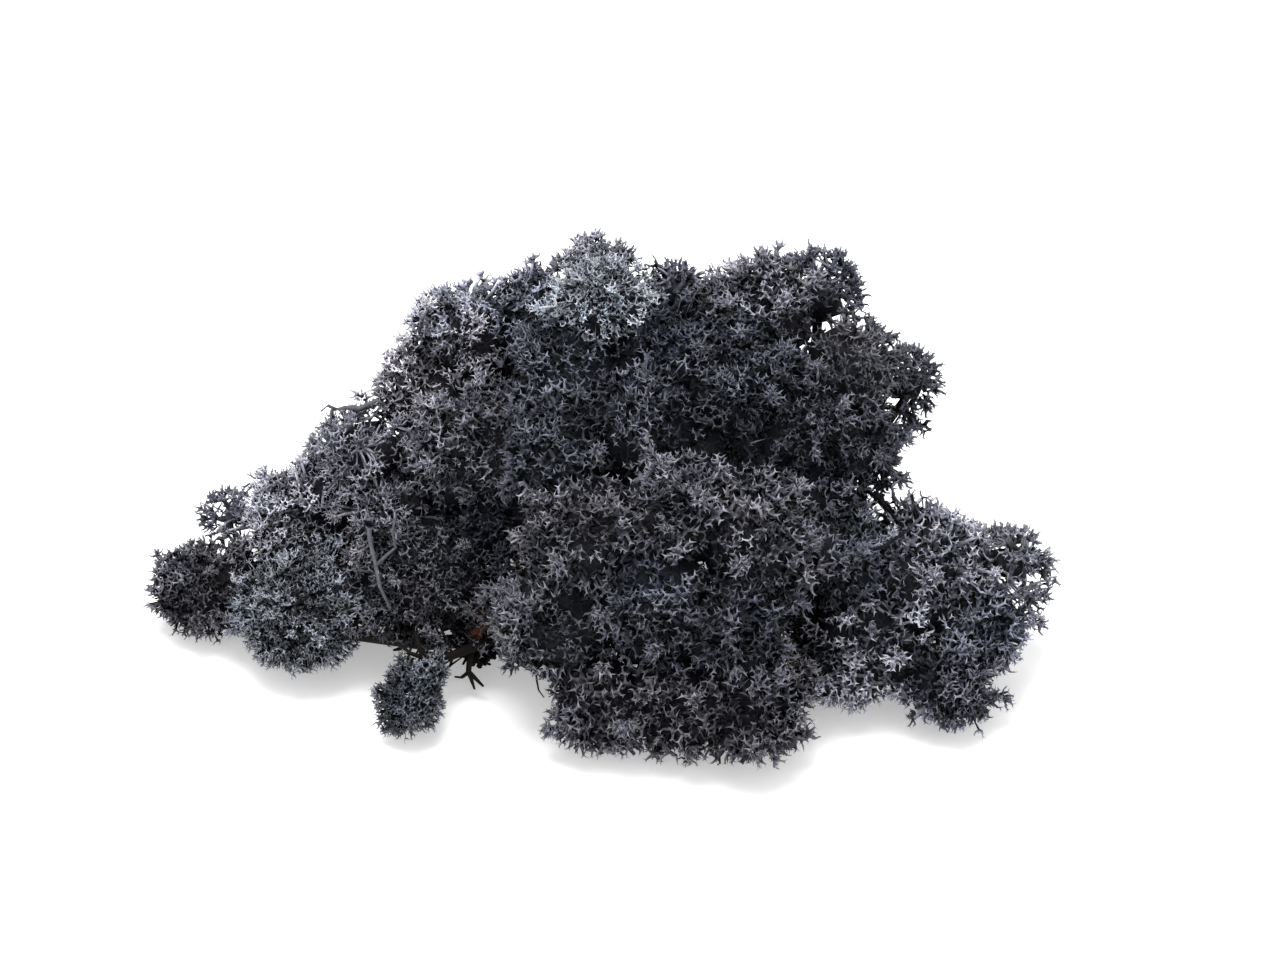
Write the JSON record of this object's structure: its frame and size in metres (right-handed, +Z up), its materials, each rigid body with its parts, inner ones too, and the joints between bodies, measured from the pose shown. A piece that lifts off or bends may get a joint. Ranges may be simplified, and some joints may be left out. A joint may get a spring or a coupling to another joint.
{
  "type": "reindeer moss clump",
  "caption": "Dyed blue-black reindeer moss clump: rounded heads of fine forked lichen twigs round brown stems, lying on a table or tray.",
  "frame": {"origin": "on the surface that the clump lies on, under the middle of its box", "axes": "+X along the clump's length, +Y away from the low front edge, +Z up"},
  "size_m": [0.1672, 0.1094, 0.0694],
  "materials": {
    "ash": "matt, dyed lichen with greyer tips",
    "slate": "matt, dyed lichen",
    "charcoal": "matt, deeply dyed lichen",
    "brown": "matt, dyed old stems"
  },
  "bodies": {
    "root": {"head_left_tip": "charcoal", "head_left_spur": "charcoal", "head_left_round": "ash", "head_left_shoulder": "slate", "head_left_slope": "slate", "head_left_dip": "slate", "head_left_lower": "slate", "head_stray_tuft": "ash", "head_front_foot_left": "charcoal", "head_front_foot_middle": "charcoal", "head_front_foot_right": "charcoal", "head_front_left": "slate", "head_front_middle": "charcoal", "head_front_right": "charcoal", "head_brow_left": "slate", "head_brow_middle": "slate", "head_brow_right": "slate", "head_right_near": "slate", "head_right_foot": "slate", "head_right_big": "slate", "head_right_low": "charcoal", "head_right_under": "charcoal", "head_right_tip": "slate", "head_right_crevice": "charcoal", "head_middle_left": "slate", "head_middle_crevice": "charcoal", "head_middle": "slate", "head_middle_right": "slate", "head_middle_hollow": "charcoal", "head_top_far_left": "slate", "head_top_left": "slate", "head_top_left_inner": "charcoal", "head_top_front": "slate", "head_top_crown": "ash", "head_top_back": "slate", "head_top_dip": "charcoal", "head_top_notch": "charcoal", "head_top_right_front": "slate", "head_top_right": "slate", "head_top_right_back": "charcoal", "head_top_right_outer": "slate", "head_top_right_under": "charcoal", "head_top_right_shade": "charcoal", "head_top_right_edge": "charcoal", "head_back_far_left": "slate", "head_back_left": "charcoal", "head_back_middle": "slate", "head_back_right": "slate", "head_back_far_right": "charcoal", "head_back_end": "slate", "head_back_high_left": "slate", "head_back_high_middle": "charcoal", "head_back_high_right": "slate", "head_back_high_end": "slate", "head_back_top_left": "slate", "head_back_top_right": "charcoal", "stems_left": "brown", "stems_middle": "brown", "stems_right": "brown", "stems_front": "brown"}
  },
  "joints": []
}
